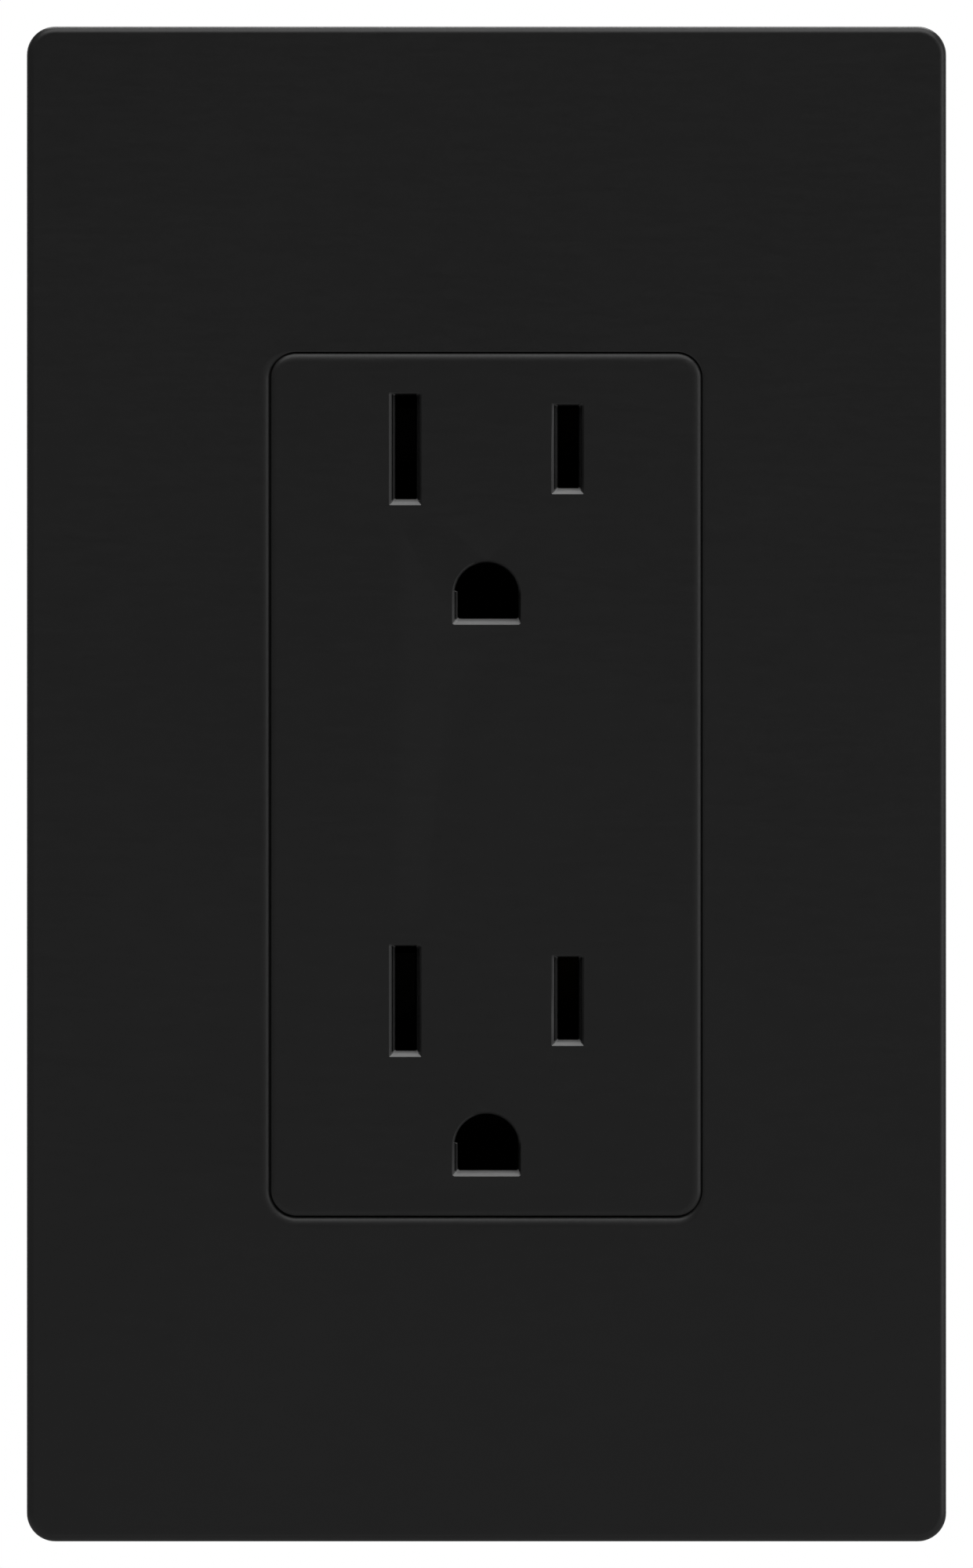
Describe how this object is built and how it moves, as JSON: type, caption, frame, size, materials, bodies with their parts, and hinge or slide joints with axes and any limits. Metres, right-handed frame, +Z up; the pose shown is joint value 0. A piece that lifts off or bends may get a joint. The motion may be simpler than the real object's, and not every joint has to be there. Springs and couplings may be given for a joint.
{
  "type": "duplex wall outlet",
  "caption": "Decorator-format duplex wall receptacle with steel mounting strap, side and back wired clamp terminals, and a screwless clip-on cover plate on its adapter frame.",
  "frame": {"origin": "centre of the wall plane behind the cover plate, on the mounting strap's rear face", "axes": "+X to the right seen from the room, +Y into the wall, +Z up; the face looks along -Y"},
  "size_m": [0.071, 0.0329, 0.117],
  "materials": {
    "cover_plastic": "satin moulded black",
    "face_plastic": "satin moulded black",
    "body_plastic": "moulded black thermoplastic",
    "adapter_plastic": "moulded black",
    "galvanised_steel": "galvanised",
    "zinc_steel": "zinc plated",
    "brass": "as formed",
    "nickel_plated_brass": "nickel plated",
    "green_steel": "green dyed zinc",
    "fibre": "pressed fibre"
  },
  "bodies": {
    "receptacle": {"mounting_strap": "galvanised_steel", "front_cover": "face_plastic", "rear_body": "body_plastic", "hot_contact_strip": "brass", "neutral_contact_strip": "nickel_plated_brass", "ground_contact_strip": "brass", "ground_rivet_upper": "zinc_steel", "ground_rivet_lower": "zinc_steel", "assembly_screw_upper_left": "zinc_steel", "assembly_screw_upper_right": "zinc_steel", "assembly_screw_lower_left": "zinc_steel", "assembly_screw_lower_right": "zinc_steel"},
    "adapter": {"adapter_plate": "adapter_plastic"},
    "faceplate": {"faceplate": "cover_plastic"},
    "plate_screw_upper": {"plate_screw_upper": "zinc_steel"},
    "plate_screw_lower": {"plate_screw_lower": "zinc_steel"},
    "screw_retainer_upper": {"screw_retainer_upper": "fibre"},
    "mounting_screw_upper": {"mounting_screw_upper": "zinc_steel"},
    "screw_retainer_lower": {"screw_retainer_lower": "fibre"},
    "mounting_screw_lower": {"mounting_screw_lower": "zinc_steel"},
    "hot_clamp_plate_upper": {"hot_clamp_plate_upper": "brass"},
    "hot_terminal_screw_upper": {"hot_terminal_screw_upper": "brass"},
    "hot_clamp_plate_lower": {"hot_clamp_plate_lower": "brass"},
    "hot_terminal_screw_lower": {"hot_terminal_screw_lower": "brass"},
    "neutral_clamp_plate_upper": {"neutral_clamp_plate_upper": "nickel_plated_brass"},
    "neutral_terminal_screw_upper": {"neutral_terminal_screw_upper": "nickel_plated_brass"},
    "neutral_clamp_plate_lower": {"neutral_clamp_plate_lower": "nickel_plated_brass"},
    "neutral_terminal_screw_lower": {"neutral_terminal_screw_lower": "nickel_plated_brass"},
    "ground_clamp_plate": {"ground_clamp_plate": "green_steel"},
    "ground_terminal_screw": {"ground_terminal_screw": "green_steel"}
  },
  "joints": [
    {"name": "adapter_lift", "type": "slide", "parent": "receptacle", "child": "adapter", "axis": [0, -1, 0], "range_m": [0, 0.00794]},
    {"name": "plate_screw_upper_turn", "type": "hinge", "parent": "adapter", "child": "plate_screw_upper", "pos_m": [0, -0.003, 0.04842], "axis": [0, -1, 0], "range_deg": [0, 3600]},
    {"name": "plate_screw_lower_turn", "type": "hinge", "parent": "adapter", "child": "plate_screw_lower", "pos_m": [0, -0.003, -0.04842], "axis": [0, -1, 0], "range_deg": [0, 3600]},
    {"name": "faceplate_snap_off", "type": "slide", "parent": "adapter", "child": "faceplate", "axis": [0, -1, 0], "range_m": [0, 0.014]},
    {"name": "mounting_screw_upper_play", "type": "slide", "parent": "receptacle", "child": "screw_retainer_upper", "axis": [0, -1, 0], "range_m": [0, 0.001]},
    {"name": "mounting_screw_upper_turn", "type": "hinge", "parent": "screw_retainer_upper", "child": "mounting_screw_upper", "pos_m": [0, -0.0015, 0.04167], "axis": [0, -1, 0], "continuous": true},
    {"name": "mounting_screw_lower_play", "type": "slide", "parent": "receptacle", "child": "screw_retainer_lower", "axis": [0, -1, 0], "range_m": [0, 0.001]},
    {"name": "mounting_screw_lower_turn", "type": "hinge", "parent": "screw_retainer_lower", "child": "mounting_screw_lower", "pos_m": [0, -0.0015, -0.04167], "axis": [0, -1, 0], "continuous": true},
    {"name": "hot_clamp_plate_upper_lift", "type": "slide", "parent": "receptacle", "child": "hot_clamp_plate_upper", "axis": [1, 0, 0], "range_m": [0, 0.00317]},
    {"name": "hot_terminal_screw_upper_turn", "type": "hinge", "parent": "hot_clamp_plate_upper", "child": "hot_terminal_screw_upper", "pos_m": [0.0158, 0.0132, 0.0095], "axis": [1, 0, 0], "range_deg": [0, 1440]},
    {"name": "hot_clamp_plate_lower_lift", "type": "slide", "parent": "receptacle", "child": "hot_clamp_plate_lower", "axis": [1, 0, 0], "range_m": [0, 0.00317]},
    {"name": "hot_terminal_screw_lower_turn", "type": "hinge", "parent": "hot_clamp_plate_lower", "child": "hot_terminal_screw_lower", "pos_m": [0.0158, 0.0132, -0.0095], "axis": [1, 0, 0], "range_deg": [0, 1440]},
    {"name": "neutral_clamp_plate_upper_lift", "type": "slide", "parent": "receptacle", "child": "neutral_clamp_plate_upper", "axis": [-1, 0, 0], "range_m": [0, 0.00317]},
    {"name": "neutral_terminal_screw_upper_turn", "type": "hinge", "parent": "neutral_clamp_plate_upper", "child": "neutral_terminal_screw_upper", "pos_m": [-0.0158, 0.0132, 0.0095], "axis": [-1, 0, 0], "range_deg": [0, 1440]},
    {"name": "neutral_clamp_plate_lower_lift", "type": "slide", "parent": "receptacle", "child": "neutral_clamp_plate_lower", "axis": [-1, 0, 0], "range_m": [0, 0.00317]},
    {"name": "neutral_terminal_screw_lower_turn", "type": "hinge", "parent": "neutral_clamp_plate_lower", "child": "neutral_terminal_screw_lower", "pos_m": [-0.0158, 0.0132, -0.0095], "axis": [-1, 0, 0], "range_deg": [0, 1440]},
    {"name": "ground_clamp_plate_lift", "type": "slide", "parent": "receptacle", "child": "ground_clamp_plate", "axis": [-1, 0, 0], "range_m": [0, 0.00317]},
    {"name": "ground_terminal_screw_turn", "type": "hinge", "parent": "ground_clamp_plate", "child": "ground_terminal_screw", "pos_m": [-0.014, 0.0062, -0.0381], "axis": [-1, 0, 0], "range_deg": [0, 1440]}
  ],
  "couplings": [
    {"joint": "plate_screw_upper_turn", "follows": "adapter_lift", "rad_per_m": 7915.8},
    {"joint": "plate_screw_lower_turn", "follows": "adapter_lift", "rad_per_m": 7915.8},
    {"joint": "hot_terminal_screw_upper_turn", "follows": "hot_clamp_plate_upper_lift", "rad_per_m": 7915.8},
    {"joint": "hot_terminal_screw_lower_turn", "follows": "hot_clamp_plate_lower_lift", "rad_per_m": 7915.8},
    {"joint": "neutral_terminal_screw_upper_turn", "follows": "neutral_clamp_plate_upper_lift", "rad_per_m": 7915.8},
    {"joint": "neutral_terminal_screw_lower_turn", "follows": "neutral_clamp_plate_lower_lift", "rad_per_m": 7915.8},
    {"joint": "ground_terminal_screw_turn", "follows": "ground_clamp_plate_lift", "rad_per_m": 7915.8}
  ]
}
